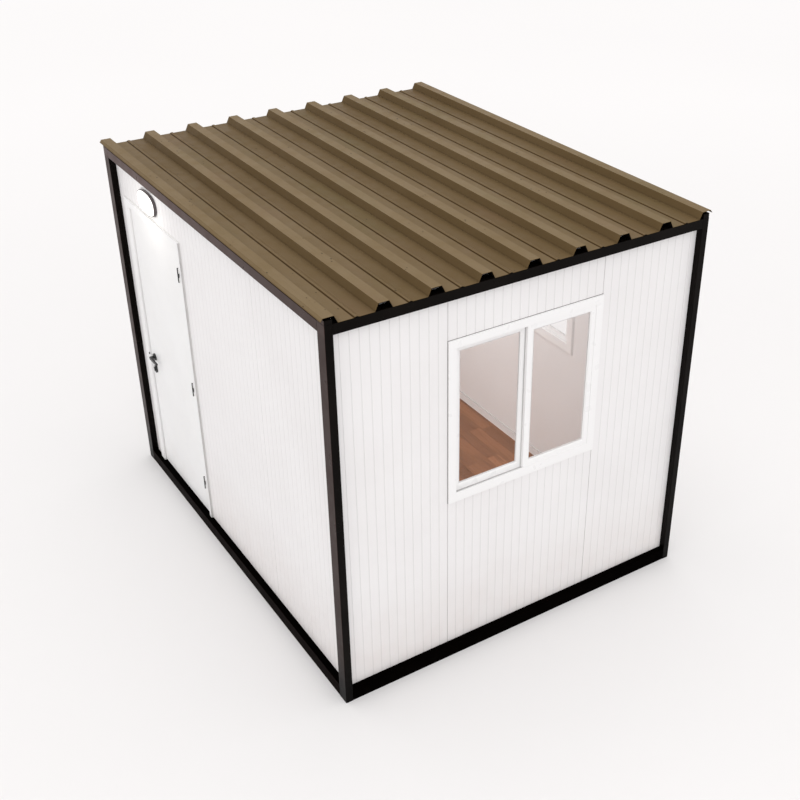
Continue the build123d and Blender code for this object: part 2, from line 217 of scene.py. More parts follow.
def add_turned(mesh, profile, centre, along, segments=24):
    """Adds a closed solid of revolution. The profile is (radius, distance along) pairs."""
    along = Vector(along).normalized()
    turn = along.to_track_quat("Z", "Y").to_matrix()
    rings = []
    for radius, distance in profile:
        if radius == 0.0:
            rings.append([mesh.verts.new(Vector(centre) + turn @ Vector((0, 0, distance)))])
            continue
        ring = []
        for number in range(segments):
            angle = 2 * math.pi * number / segments
            spot = Vector((radius * math.cos(angle), radius * math.sin(angle), distance))
            ring.append(mesh.verts.new(Vector(centre) + turn @ spot))
        rings.append(ring)
    for first, second in zip(rings, rings[1:]):
        for number in range(segments):
            after = (number + 1) % segments
            corners = [
                first[number % len(first)],
                first[after % len(first)],
                second[after % len(second)],
                second[number % len(second)],
            ]
            unique = list(dict.fromkeys(corners))
            if len(unique) > 2:
                mesh.faces.new(unique)
    for ring in (rings[0], rings[-1]):
        if len(ring) > 2:
            mesh.faces.new(ring)


# Each wall's axis across, its outward axis and which way it faces
WALLS = {"front": (0, 1, -1), "back": (0, 1, 1), "left": (1, 0, -1), "right": (1, 0, 1)}


def on_wall(side, across, up, plane, rise=0.0):
    """A point on a wall: rise is how far it stands out from the plane."""
    across_axis, out_axis, sign = WALLS[side]
    spot = Vector((0.0, 0.0, up))
    spot[across_axis] = across
    spot[out_axis] = plane + sign * rise
    return spot


def join_rings(mesh, rings, closed=False, capped=False):
    """Skins rings of vertices that have the same count."""
    pairs = list(zip(rings, rings[1:]))
    if closed:
        pairs.append((rings[-1], rings[0]))
    for first, second in pairs:
        for number in range(len(first)):
            after = (number + 1) % len(first)
            mesh.faces.new((first[number], first[after], second[after], second[number]))
    if capped:
        mesh.faces.new(rings[0])
        mesh.faces.new(rings[-1])


def add_rim(mesh, side, plane, low, high, profile, open_foot=False):
    """Sweeps a closed profile of (run outwards, rise) pairs round a rectangle on a wall."""
    corners = (
        (low[0], low[1], -1, 0 if open_foot else -1),
        (low[0], high[1], -1, 1),
        (high[0], high[1], 1, 1),
        (high[0], low[1], 1, 0 if open_foot else -1),
    )
    rings = [
        [
            mesh.verts.new(on_wall(side, across + run * go, up + run * climb, plane, rise))
            for run, rise in profile
        ]
        for across, up, go, climb in corners
    ]
    join_rings(mesh, rings, closed=not open_foot, capped=open_foot)


def add_plate(mesh, side, plane, outline, sections):
    """Stacks insets of a closed outline on a wall. Each section is an (inset share, rise) pair."""
    middle = [sum(point[axis] for point in outline) / len(outline) for axis in (0, 1)]
    rings = []
    for share, rise in sections:
        rings.append(
            [
                mesh.verts.new(
                    on_wall(
                        side,
                        middle[0] + (point[0] - middle[0]) * share,
                        middle[1] + (point[1] - middle[1]) * share,
                        plane,
                        rise,
                    )
                )
                for point in outline
            ]
        )
    join_rings(mesh, rings, capped=True)


def oval(centre, half_width, half_height, power=2.5, count=96):
    """Outline of a superellipse."""
    points = []
    for number in range(count):
        angle = 2 * math.pi * number / count
        across, up = math.cos(angle), math.sin(angle)
        points.append(
            (
                centre[0] + half_width * math.copysign(abs(across) ** (2 / power), across),
                centre[1] + half_height * math.copysign(abs(up) ** (2 / power), up),
            )
        )
    return points


def rounded_bar(centre, half_width, half_height, radius, count=6):
    """Outline of a rectangle with rounded corners."""
    points = []
    for corner, (go, climb) in enumerate(((1, 1), (-1, 1), (-1, -1), (1, -1))):
        for step in range(count + 1):
            turn = math.pi / 2 * (corner + step / count)
            points.append(
                (
                    centre[0] + go * (half_width - radius) + radius * math.cos(turn),
                    centre[1] + climb * (half_height - radius) + radius * math.sin(turn),
                )
            )
    return points


def arc(centre, radius, start, sweep, steps):
    """Points along an arc, its angles in degrees."""
    points = []
    for step in range(steps + 1):
        turn = math.radians(start + sweep * step / steps)
        points.append((centre[0] + radius * math.cos(turn), centre[1] + radius * math.sin(turn)))
    return points


def solids(name):
    """Boxes of a node's separate solids, as (low, high) pairs."""
    touching = 1e-5
    mesh = bmesh.new()
    mesh.from_mesh(nodes[name].data)
    bmesh.ops.remove_doubles(mesh, verts=mesh.verts, dist=touching)
    waiting = set(mesh.verts)
    boxes = []
    while waiting:
        found = [waiting.pop()]
        for vertex in found:
            for edge in vertex.link_edges:
                other = edge.other_vert(vertex)
                if other in waiting:
                    waiting.discard(other)
                    found.append(other)
        low = Vector(min(vertex.co[axis] for vertex in found) for axis in range(3))
        high = Vector(max(vertex.co[axis] for vertex in found) for axis in range(3))
        boxes.append((low, high))
    mesh.free()
    return sorted(boxes, key=lambda box: tuple(box[0]))


# Finishes
def steel_look(name, gloss_index, foot_sheen_share):
    """Near-black paint with painted shade towards the foot and a brown painted sheen up the outer left and
    right sides.

    The share of the painted sheen grows from foot_sheen_share up the posts, and along the top beams to the
    back.
    """
    side_sheen = (0.084, 0.052, 0.047)
    look = Look(name, IOR=gloss_index)
    cloud = look.noise(3.0, 4.0)
    tone = look.mix(look.remap(cloud, 0.35, 0.65), (0.0018, 0.0009, 0.0005), (0.0040, 0.0026, 0.0018))
    up = look.axis("Z")
    # painted shade: the paint darkens towards the foot
    tone = look.mix(look.remap(up, 0.05, 0.35, 0.80, 0.0), tone, (0.0004, 0.0002, 0.0001))
    # painted sheen: brown over the outer left and right faces, its share growing up the posts and along the
    # top beams to the back
    sheen_faces = look.remap(look.math("ABSOLUTE", look.axis("X", look.facing)), 0.5, 0.9)
    from_middle = look.math("ABSOLUTE", look.axis("X"))
    outside = look.remap(from_middle, FRAME_EDGE - 0.004, FRAME_EDGE - 0.001)
    sheen_faces = look.math("MULTIPLY", sheen_faces, outside)
    lower = look.remap(up, 0.05, 0.42, foot_sheen_share, 0.36)
    upper = look.remap(up, 0.42, 1.10, 0.0, 0.14)
    back = look.remap(look.axis("Y"), -1.1, 0.4, 0.18, 0.50)
    top = look.remap(up, TOP_BEAM_FOOT - 0.02, TOP_BEAM_FOOT + 0.02)
    share = look.math("ADD", lower, upper)
    share = look.math("ADD", share, look.math("MULTIPLY", top, back))
    tone = look.mix(look.math("MULTIPLY", sheen_faces, share), tone, side_sheen)
    splash = look.remap(up, 0.0, 0.10, 1.0, 0.0)
    spots = look.remap(look.noise(22.0, 6.0, 0.7), 0.45, 0.72)
    dust = look.math("MULTIPLY", look.math("MULTIPLY", splash, spots), 0.03)
    look.set("Base Color", look.mix(dust, tone, (0.060, 0.050, 0.042)))
    look.set("Roughness", look.remap(look.noise(9.0, 5.0), 0.3, 0.7, 0.27, 0.40))
    look.bump(look.noise(150.0, 2.0), 0.00005, 0.25)
    look.bump(look.noise(14.0, 3.0), 0.0003, 0.10)
    return look


def panel_look(side, joints, lines_from):
    """White coated panel: shade in the grooves and joints, faint streaks, and a warm darkening low down
    that is partly grime and partly painted contact shade.
    """
    across_axis, out_axis, sign = WALLS[side]
    look = Look(f"{side} panels")
    across = look.axis("XYZ"[across_axis])
    facing = look.axis("XYZ"[out_axis], look.facing)
    outside = look.remap(look.math("MULTIPLY", facing, sign), 0.3, 0.6)
    # 0 on each groove and 0.5 halfway between; the spare turns only keep the count positive
    spare_turns = 400
    turn = look.math("DIVIDE", look.math("SUBTRACT", across, lines_from), GROOVE_PITCH)
    turn = look.math("FRACT", look.math("ADD", turn, spare_turns + 0.5))
    offset = look.math("ABSOLUTE", look.math("SUBTRACT", turn, 0.5))
    groove = look.remap(offset, 0.012, 0.062, 1.0, 0.0)
    groove = look.math("MULTIPLY", groove, outside)
    seam = 0.0
    for joint in joints:
        gap = look.math("ABSOLUTE", look.math("SUBTRACT", across, joint))
        seam = look.math("MAXIMUM", look.remap(gap, 0.0010, 0.0026, 1.0, 0.0), seam)
    seam = look.math("MULTIPLY", seam, outside)
    mottle = look.noise(1.6, 4.0, 0.6)
    base = look.mix(look.remap(mottle, 0.3, 0.7), (0.862, 0.845, 0.846), (0.892, 0.878, 0.880))
    streaks = look.noise(1.0, 5.0, 0.65, look.stretched((60.0, 60.0, 1.2)))
    base = look.mix(look.remap(streaks, 0.55, 0.80, 0.0, 0.10), base, (0.74, 0.73, 0.72))
    # painted contact shade mixed with grime: warmer and darker towards the floor, in mottled patches
    low = look.math("MULTIPLY", look.remap(look.axis("Z"), 0.08, 0.75, 1.0, 0.0), outside)
    grime = look.math("MULTIPLY", low, look.remap(look.noise(7.0, 6.0, 0.65), 0.35, 0.75, 0.55, 1.0))
    base = look.mix(look.math("MULTIPLY", grime, 0.24), base, (0.66, 0.54, 0.48))
    base = look.mix(look.math("MULTIPLY", groove, 0.34), base, (0.50, 0.48, 0.47))
    base = look.mix(look.math("MULTIPLY", seam, 0.22), base, (0.30, 0.285, 0.28))
    look.set("Base Color", base)
    look.set("Roughness", look.remap(look.noise(30.0, 4.0), 0.3, 0.7, 0.36, 0.50))
    look.bump(look.noise(260.0, 2.0), 0.00005, 0.25)
    look.bump(look.noise(5.0, 2.0, 0.4, look.stretched((1.0, 1.0, 0.35))), 0.0012, 0.25)
    return look


def roof_look():
    """Olive-brown coated sheet: dust on the flats that is partly painted light keeping the flanks darker,
    painted shade on the pans beside the ribs, in the crease at each stiffener's left foot and on the faces
    underneath, dark specks.
    """
    rib_start = -FRAME_EDGE + RIB_INSET
    rib_pitch = -2 * rib_start / (RIB_COUNT - 1)
    edge = FRAME_EDGE + 0.005
    look = Look("roof coating", IOR=1.10)
    across = look.axis("X")
    from_middle = look.math("ABSOLUTE", across)
    up = look.axis("Z", look.facing)
    flat = look.remap(up, 0.55, 0.95)
    lip = look.math("MULTIPLY", look.remap(from_middle, edge, edge + 0.002), look.remap(up, 0.2, 0.4))
    flat = look.math("MAXIMUM", flat, lip)
    underside_shade = look.remap(up, -0.35, -0.10, 1.0, 0.0)
    cloud = look.noise(1.1, 5.0, 0.6)
    paint = look.mix(look.remap(cloud, 0.3, 0.7), (0.106, 0.068, 0.029), (0.120, 0.079, 0.036))
    # 0 at the middle of each rib; the spare turns only keep the count positive
    spare_turns = 50
    turn = look.math("DIVIDE", look.math("SUBTRACT", across, rib_start), rib_pitch)
    turn = look.math("FRACT", look.math("ADD", turn, spare_turns + 0.5))
    phase = look.math("SUBTRACT", turn, 0.5)
    from_rib = look.math("MULTIPLY", look.math("ABSOLUTE", phase), rib_pitch)
    patches = look.noise(2.3, 6.0, 0.62)
    # dust on the upward faces, partly painted light: the tops paler than the flanks
    dust_and_top_light = look.mix(look.remap(patches, 0.3, 0.7), (0.160, 0.110, 0.054), (0.182, 0.130, 0.070))
    # painted shade: the pans keep less of the pale tone, least on the left of each rib
    pan = look.remap(from_rib, RIB_HALF_BASE - 0.012, RIB_HALF_BASE - 0.008)
    pan_shade_by_side = look.remap(phase, -0.02, 0.02, 0.84, 0.42)
    pan_shade = look.math("MULTIPLY", pan, pan_shade_by_side)
    base = look.mix(look.math("MULTIPLY", flat, look.math("SUBTRACT", 1.0, pan_shade)), paint, dust_and_top_light)
    olive = look.noise(1.7, 4.0, 0.6, look.stretched((2.2, 0.6, 1.0), (3, 1, 0)))
    olive = look.math("MULTIPLY", look.remap(olive, 0.50, 0.72), flat)
    base = look.mix(look.math("MULTIPLY", olive, 0.20), base, (0.115, 0.100, 0.040))
    warm = look.noise(2.9, 3.0, 0.5, look.stretched((1.6, 0.5, 1.0), (7, 5, 0)))
    warm = look.math("MULTIPLY", look.remap(warm, 0.55, 0.75), flat)
    base = look.mix(look.math("MULTIPLY", warm, 0.18), base, (0.165, 0.095, 0.062))
    streaks = look.noise(1.0, 6.0, 0.7, look.stretched((70.0, 1.6, 20.0)))
    base = look.mix(look.remap(streaks, 0.50, 0.80, 0.0, 0.20), base, (0.066, 0.044, 0.022))
    # painted shade on the pans right beside each rib
    shade = look.remap(look.math("SUBTRACT", from_rib, RIB_HALF_BASE), 0.0, 0.030, 1.0, 0.0)
    shade = look.math("MULTIPLY", shade, look.remap(from_rib, RIB_HALF_BASE - 0.004, RIB_HALF_BASE - 0.002))
    base = look.mix(look.math("MULTIPLY", shade, 0.25), base, (0.060, 0.040, 0.020))
    # painted shade: a dark line in the crease at the left foot of each stiffener
    side = look.math("MULTIPLY", look.math("FRACT", look.math("ADD", phase, 1.0)), rib_pitch)
    foot = look.math("SUBTRACT", side, rib_pitch / 2 - STIFFENER_HALF)
    crease_shade = look.remap(look.math("ABSOLUTE", foot), 0.0024, 0.0050, 1.0, 0.0)
    base = look.mix(look.math("MULTIPLY", crease_shade, 0.94), base, (0.034, 0.016, 0.002))
    speck = look.cells(30.0, look.stretched((1.0, 0.6, 1.0)))
    chance = look.noise(6.0, 2.0, 0.5, look.stretched((1.0, 1.0, 1.0), (4, 9, 2)))
    size = look.remap(chance, 0.50, 0.68, 0.0, 0.16)
    dot = look.math("MULTIPLY", look.remap(look.math("SUBTRACT", size, speck), 0.0, 0.03), flat)
    base = look.mix(look.math("MULTIPLY", dot, 0.75), base, (0.040, 0.027, 0.014))
    scratch = look.cells(9.0, look.stretched((1.0, 0.3, 1.0), (2, 3, 0)))
    pale = look.math("MULTIPLY", look.remap(scratch, 0.0, 0.035, 1.0, 0.0), flat)
    base = look.mix(look.math("MULTIPLY", pale, 0.30), base, (0.24, 0.19, 0.13))
    # near-black painted shade on the faces that look down
    base = look.mix(underside_shade, base, (0.008, 0.006, 0.005))
    look.set("Base Color", base)
    look.set("Roughness", look.remap(look.noise(14.0, 5.0), 0.3, 0.7, 0.32, 0.46))
    look.bump(look.noise(500.0, 2.0), 0.0001, 0.5)
    look.bump(look.noise(9.0, 4.0, 0.55, look.stretched((1.0, 0.25, 1.0))), 0.0012, 0.25)
    return look


def laminate_look():
    """Warm brown laminate printed in two strips a board, each strip in its own tone."""
    strip_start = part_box("floor_deck")[0].x
    strip_width = BOARD_WIDTH / 2
    strip_length = BOARD_LENGTH * 0.45
    look = Look("laminate", IOR=1.40)
    strip = look.math("DIVIDE", look.math("SUBTRACT", look.axis("X"), strip_start), strip_width)
    strip = look.math("FLOOR", strip)
    stagger = look.add("ShaderNodeTexWhiteNoise", noise_dimensions="1D")
    look.feed(stagger.inputs["W"], strip)
    run = look.math("DIVIDE", look.axis("Y"), strip_length)
    run = look.math("FLOOR", look.math("ADD", run, stagger.outputs["Value"]))
    ticket = look.add("ShaderNodeCombineXYZ")
    look.feed(ticket.inputs[0], strip)
    look.feed(ticket.inputs[1], run)
    drawn = look.add("ShaderNodeTexWhiteNoise", noise_dimensions="2D")
    look.feed(drawn.inputs["Vector"], ticket.outputs[0])
    tone_value = drawn.outputs["Value"]
    seed = look.add("ShaderNodeCombineXYZ")
    look.feed(seed.inputs[0], look.math("MULTIPLY", tone_value, 37.0))
    look.feed(seed.inputs[1], look.math("MULTIPLY", tone_value, 91.0))
    shifted = look.add("ShaderNodeVectorMath", operation="ADD")
    look.feed(shifted.inputs[0], look.place)
    look.feed(shifted.inputs[1], seed.outputs[0])
    place = shifted.outputs[0]

    def grain(scale, detail, distortion):
        mapping = look.add("ShaderNodeMapping")
        look.feed(mapping.inputs["Vector"], place)
        mapping.inputs["Scale"].default_value = scale
        return look.noise(1.0, detail, 0.6, mapping.outputs[0], distortion)

    broad = grain((9.0, 0.9, 4.0), 3.0, 0.6)
    fine = grain((150.0, 5.0, 60.0), 4.0, 0.3)
    rings = grain((46.0, 1.6, 20.0), 4.0, 1.4)
    tone = look.mix(tone_value, (0.198, 0.079, 0.032), (0.442, 0.190, 0.084))
    tone = look.mix(look.remap(broad, 0.30, 0.70, 0.0, 0.22), tone, (0.270, 0.110, 0.040))
    tone = look.mix(look.remap(rings, 0.50, 0.66, 0.0, 0.42), tone, (0.125, 0.047, 0.016))
    tone = look.mix(look.remap(fine, 0.45, 0.72, 0.0, 0.14), tone, (0.100, 0.038, 0.014))
    look.set("Base Color", tone)
    look.set("Roughness", look.remap(fine, 0.3, 0.7, 0.34, 0.48))
    look.bump(fine, 0.00015, 0.2)
    return look


def plastic_look(name, light, dark, roughness):
    """Moulded or extruded plastic with a fine skin and slight unevenness."""
    look = Look(name)
    cloud = look.noise(1.3, 3.0, 0.45)
    look.set("Base Color", look.mix(look.remap(cloud, 0.3, 0.7), dark, light))
    sheen = look.remap(look.noise(12.0, 2.0), 0.3, 0.7, roughness - 0.03, roughness + 0.05)
    look.set("Roughness", sheen)
    look.bump(look.noise(40.0, 1.0), 0.00004, 0.15)
    return look


def door_look():
    """White powder coat on the leaf and casing, darker and warmer low down from grime and painted contact
    shade, and grey painted shade over the casing's outer sides.
    """
    casing_near, casing_far = (corner.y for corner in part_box("door_frame"))
    look = Look("door coating")
    cloud = look.noise(2.4, 4.0)
    base = look.mix(look.remap(cloud, 0.3, 0.7), (0.872, 0.868, 0.866), (0.905, 0.903, 0.902))
    # painted contact shade mixed with grime: warmer and darker towards the bottom, in mottled patches
    low = look.remap(look.axis("Z"), 0.08, 0.45, 1.0, 0.0)
    grime = look.math("MULTIPLY", low, look.remap(look.noise(8.0, 6.0, 0.65), 0.35, 0.75))
    base = look.mix(look.math("MULTIPLY", grime, 0.17), base, (0.62, 0.52, 0.46))
    # painted shade: mottled grey over the casing's outer side faces
    along = look.axis("Y")
    near = look.remap(along, casing_near + 0.0005, casing_near + 0.0015, 1.0, 0.0)
    far = look.remap(along, casing_far - 0.0015, casing_far - 0.0005)
    drawn = look.remap(look.noise(16.0, 4.0), 0.3, 0.7, 0.75, 0.90)
    side_shade = look.math("MULTIPLY", look.math("MAXIMUM", near, far), drawn)
    base = look.mix(side_shade, base, (0.50, 0.490, 0.482))
    look.set("Base Color", base)
    look.set("Roughness", look.remap(look.noise(18.0, 4.0), 0.3, 0.7, 0.34, 0.48))
    look.bump(look.noise(260.0, 3.0), 0.00006, 0.25)
    return look


def fitting_look(name, dark, light, roughness, metallic):
    """Coated steel of the hinges, lever and lock, rubbed a little brighter in patches."""
    look = Look(name, Metallic=metallic)
    rub = look.remap(look.noise(70.0, 5.0, 0.6), 0.48, 0.75)
    look.set("Base Color", look.mix(rub, dark, light))
    wear = look.remap(look.noise(120.0, 3.0), 0.3, 0.7, roughness - 0.08, roughness + 0.1)
    look.set("Roughness", wear)
    look.bump(look.noise(1500.0, 2.0), 0.00004, 0.4)
    return look


def sealant_look():
    """Grey bead down the sides of the door casing, painted over along its head."""
    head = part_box("door_frame")[1].z
    look = Look("casing sealant", Roughness=0.55)
    grime = look.noise(9.0, 4.0)
    side = look.mix(look.remap(grime, 0.3, 0.7), (0.60, 0.590, 0.580), (0.68, 0.670, 0.660))
    painted = look.remap(look.axis("Z"), head - 0.002, head - 0.0005)
    look.set("Base Color", look.mix(painted, side, (0.76, 0.75, 0.73)))
    look.bump(look.noise(120.0, 3.0), 0.0003, 0.4)
    return look


def skirting_look():
    """Skirting in the colour of the wall, its top face painted darker as shade against the light from
    above, and a pale band at its foot.
    """
    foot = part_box("skirting")[0].z
    look = Look("skirting", Roughness=0.45)
    cloud = look.noise(1.6, 4.0, 0.6)
    base = look.mix(look.remap(cloud, 0.3, 0.7), (0.860, 0.842, 0.842), (0.888, 0.874, 0.876))
    # painted shade: the top face is darkened against the light from above
    top_face_shade = look.remap(look.axis("Z", look.facing), 0.3, 0.8)
    base = look.mix(top_face_shade, base, (0.57, 0.545, 0.530))
    # a pale band along the foot
    seal = look.remap(look.axis("Z"), foot + 0.010, foot + 0.013, 1.0, 0.0)
    look.set("Base Color", look.mix(look.math("MULTIPLY", seal, 0.8), base, (0.96, 0.92, 0.90)))
    look.bump(look.noise(40.0, 2.0), 0.00004, 0.2)
    return look


def hinge_look(axis_x, axis_y):
    """Painted hinge lugs with a dark barrel, told apart by the distance from the pin."""
    coat, barrel = (0.86, 0.855, 0.85), (0.018, 0.017, 0.017)
    look = Look("hinge finish")
    off_x = look.math("SUBTRACT", look.axis("X"), axis_x)
    off_y = look.math("SUBTRACT", look.axis("Y"), axis_y)
    square = look.math("ADD", look.math("MULTIPLY", off_x, off_x), look.math("MULTIPLY", off_y, off_y))
    from_pin = look.math("SQRT", square)
    away = look.remap(from_pin, HINGE_BARREL_RADIUS + 0.0002, HINGE_BARREL_RADIUS + 0.0008)
    rub = look.remap(look.noise(90.0, 5.0, 0.6), 0.50, 0.75)
    worn = look.mix(rub, barrel, tuple(2.2 * level for level in barrel))
    look.set("Base Color", look.mix(away, worn, coat))
    look.set("Roughness", look.remap(look.noise(120.0, 3.0), 0.3, 0.7, 0.36, 0.52))
    look.bump(look.noise(1500.0, 2.0), 0.00004, 0.4)
    return look


def glass_look():
    """Window glass with a faint warm tint that lets the room's light through."""
    look = Look("window glass", Roughness=0.0, IOR=1.20, Transmission_Weight=1.0)
    look.set("Base Color", (0.985, 0.980, 0.979, 1.0))
    rays = look.add("ShaderNodeLightPath")
    through = look.add("ShaderNodeBsdfTransparent")
    through.inputs["Color"].default_value = (0.95, 0.94, 0.938, 1.0)
    passing = look.math("MAXIMUM", rays.outputs["Is Shadow Ray"], rays.outputs["Is Diffuse Ray"])
    mixed = look.add("ShaderNodeMixShader")
    look.feed(mixed.inputs[0], passing)
    look.feed(mixed.inputs[1], look.shader.outputs[0])
    look.feed(mixed.inputs[2], through.outputs[0])
    look.feed(look.output.inputs["Surface"], mixed.outputs[0])
    look.bump(look.noise(2.0, 1.0), 0.0002, 0.05)
    return look


def lamp_look():
    """Opal cover, lit evenly from inside."""
    look = Look("opal cover", Roughness=0.22, Emission_Strength=1.6)
    look.set("Emission Color", (1.0, 0.975, 0.92, 1.0))
    look.set("Base Color", look.mix(look.noise(40.0, 3.0), (0.90, 0.89, 0.86), (0.94, 0.93, 0.90)))
    return look


glass = glass_look()
pvc = plastic_look("window profile", (0.935, 0.928, 0.928), (0.925, 0.917, 0.917), 0.30)
ceiling_finish = plastic_look("ceiling panel", (0.86, 0.85, 0.845), (0.82, 0.81, 0.805), 0.45)
rubber = plastic_look("glazing rubber", (0.80, 0.79, 0.785), (0.74, 0.73, 0.725), 0.60)
# grey pile, also painted shade in the window's lap gap and empty track
brush_pile = plastic_look("brush pile", (0.60, 0.59, 0.58), (0.48, 0.47, 0.465), 0.85)
# dark grey of the outside window bead, a painted shadow line
shadow_line_sealant = plastic_look("window sealant", (0.27, 0.26, 0.255), (0.21, 0.20, 0.195), 0.55)
dark_rubber = plastic_look("dark rubber", (0.035, 0.034, 0.034), (0.025, 0.024, 0.024), 0.65)
lamp_case = plastic_look("lamp housing", (0.098, 0.080, 0.082), (0.076, 0.062, 0.064), 0.38)
door_finish = door_look()
sealant = sealant_look()
skirting_finish = skirting_look()
black_metal = fitting_look("dark fittings", (0.010, 0.010, 0.010), (0.035, 0.034, 0.033), 0.40, 0.0)
cap_metal = fitting_look("hinge caps", (0.020, 0.019, 0.018), (0.045, 0.043, 0.042), 0.42, 0.0)
bright_metal = fitting_look("bright steel", (0.42, 0.41, 0.40), (0.58, 0.57, 0.56), 0.34, 1.0)
opal = lamp_look()
steel = steel_look("frame paint", 1.14, 0.0)
foot_steel = steel_look("bottom beam paint", 1.03, 0.06)
roof = roof_look()
laminate = laminate_look()

pin_low, pin_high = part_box("door_hinge_pins")
pin_x = pin_low.x + HINGE_BARREL_RADIUS
pin_y = pin_high.y - HINGE_BARREL_RADIUS
hinge_finish = hinge_look(pin_x, pin_y)

joint = PANEL_WIDTH / 2
left_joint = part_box("left_wall_middle")[0].y
panels = {
    "front": panel_look("front", (-joint, joint), -joint),
    "right": panel_look("right", (-joint, joint), -joint),
    "back": panel_look("back", (-joint, joint), joint),
    "left": panel_look("left", (left_joint,), left_joint),
}

for name in nodes:
    if name.startswith("bottom_beam_"):
        give(foot_steel, name)
    elif name.startswith(("post_", "top_beam_")) or name == "floor_joists":
        give(steel, name)
    for side, look in panels.items():
        if name.startswith(f"{side}_wall"):
            give(look, name)
give(roof, "roof_sheet")
give(ceiling_finish, "ceiling_panel")
give(skirting_finish, "skirting")
for side in ("front", "right"):
    give(pvc, f"{side}_window_frame", f"{side}_window_sashes")
    give(glass, f"{side}_window_glass")
give(door_finish, "door_frame", "door_leaf")
give(hinge_finish, "door_hinge_pins", "door_hinge_knuckles")
give(black_metal, "lock_plates", "door_handle")


# Laminate boards on the deck
def floor_boards():
    low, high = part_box("floor_deck")
    board_foot = high.z - BOARD_THICKNESS
    edge, shortest, row_shift = 0.0007, 0.01, 0.37
    mesh = bmesh.new()
    add_box(mesh, low, (high.x, high.y, board_foot))
    rows = math.ceil((high.x - low.x) / BOARD_WIDTH)
    for row in range(rows):
        x0 = low.x + row * BOARD_WIDTH
        x1 = min(x0 + BOARD_WIDTH, high.x)
        y = low.y - BOARD_LENGTH * ((row * row_shift) % 1.0)
        while y < high.y:
            y0, y1 = max(y, low.y), min(y + BOARD_LENGTH, high.y)
            if y1 - y0 > shortest:
                add_box(mesh, (x0, y0, board_foot), (x1, y1, high.z), edge)
            y += BOARD_LENGTH
    boards = piece("floor_boards", mesh, laminate)
    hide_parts("floor_deck")


floor_boards()


# Caps on the posts, seen inside the open ends of the outer ribs
def post_caps():
    clear, sink, edge = 0.0005, 0.001, 0.0015
    mesh = bmesh.new()
    for name in nodes:
        if name.startswith("post_"):
            low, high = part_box(name)
            for axis in (0, 1):
                outer_is_high = low[axis] > 0
                low[axis] += clear if outer_is_high else 2 * clear
                high[axis] -= 2 * clear if outer_is_high else clear
            foot, head = high.z - sink, high.z + POST_CAP_RISE
            add_box(mesh, (low.x, low.y, foot), (high.x, high.y, head), edge, 2)
    piece("post_caps", mesh, steel)


post_caps()


# Lamp over the door, its profiles written as (inset share, rise) pairs
def lamp_housing():
    """Oval body with a rolled rim and a mouth for the cover."""
    low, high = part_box("lamp_body")
    half_width, half_height = (high.y - low.y) / 2, (high.z - low.z) / 2
    centre = ((low.y + high.y) / 2, (low.z + high.z) / 2)
    depth = high.x - low.x
    rim = 0.006
    inside = (half_width - rim) / half_width
    body = [(0.985, 0.0), (0.997, 0.001), (1.0, 0.004), (1.0, depth - 0.004)]
    roll = [(0.998, depth - 0.0015), (0.990, depth - 0.0002), (0.982, depth)]
    mouth = [(inside + 0.006, depth - 0.0004), (inside, depth - 0.0020), (inside, depth - 0.0050)]
    mesh = bmesh.new()
    add_plate(mesh, "left", high.x, oval(centre, half_width, half_height), body + roll + mouth)
    housing = piece("lamp_housing", mesh, lamp_case, smooth=True)
    housing.modifiers.new("edges", "EDGE_SPLIT").split_angle = math.radians(40)
    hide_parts("lamp_body")


def lamp_cover():
    """Domed opal cover, rounded towards its edge."""
    low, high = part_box("lamp_diffuser")
    centre = ((low.y + high.y) / 2, (low.z + high.z) / 2)
    depth = high.x - low.x
    gap, foot, flat, steps = 0.0006, 0.0005, 0.86, 9
    outline = oval(centre, (high.y - low.y) / 2 - gap, (high.z - low.z) / 2 - gap)
    sections = [(0.98, -0.004), (1.0, -0.003), (1.0, foot)]
    for step in range(1, steps + 1):
        turn = math.pi / 2 * step / steps
        share = flat + (1.0 - flat) * math.cos(turn)
        sections.append((share, foot + (depth - 0.0015) * math.sin(turn)))
    sections += [(0.60, depth - 0.0004), (0.30, depth - 0.0001), (0.02, depth)]
    mesh = bmesh.new()
    add_plate(mesh, "left", high.x, outline, sections)
    cover = piece("lamp_cover", mesh, opal, smooth=True)
    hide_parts("lamp_diffuser")


lamp_housing()
lamp_cover()


# Seals and gaskets, their profiles written as (run outwards, rise) pairs
def window_seals(side):
    """Dark bead outside and trim inside where the frame meets the wall, and gaskets on the panes; the
    bead's dark grey is a painted shadow line.
    """
    across, out, sign = WALLS[side]
    low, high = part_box(f"{side}_window_frame")
    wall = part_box(f"{side}_wall_above_window")
    plane = wall[0][out] if sign < 0 else wall[1][out]
    room_plane = wall[1][out] if sign < 0 else wall[0][out]
    # painted shadow line: the dark grey bead stands for the shade where the frame meets the wall
    bead = ((0.0, -0.003), (0.0, 0.0024), (0.0010, 0.0020), (0.0024, 0.0004), (0.0026, -0.003))
    mesh = bmesh.new()
    add_rim(mesh, side, plane, (low[across], low.z), (high[across], high.z), bead)
    piece(f"{side}_window_seal", mesh, shadow_line_sealant)
    trim = ((0.0, 0.003), (0.0, -0.0108), (0.0028, -0.0104), (0.0104, -0.0010), (0.0108, 0.003))
    mesh = bmesh.new()
    add_rim(mesh, side, room_plane, (low[across], low.z), (high[across], high.z), trim)
    piece(f"{side}_window_room_trim", mesh, pvc)
    strip = ((-0.0026, 0.0), (-0.0022, 0.0012), (-0.0006, 0.0018), (0.0, 0.0018), (0.0, 0.0))
    mesh = bmesh.new()
    for pane_low, pane_high in solids(f"{side}_window_glass"):
        for face, turn in ((0, -1), (1, 1)):
            plane = (pane_low, pane_high)[face][out]
            rise = sign * turn
            profile = tuple((run, lift * rise) for run, lift in strip)
            corner, far_corner = (pane_low[across], pane_low.z), (pane_high[across], pane_high.z)
            add_rim(mesh, side, plane, corner, far_corner, profile)
    piece(f"{side}_glazing_gaskets", mesh, rubber)


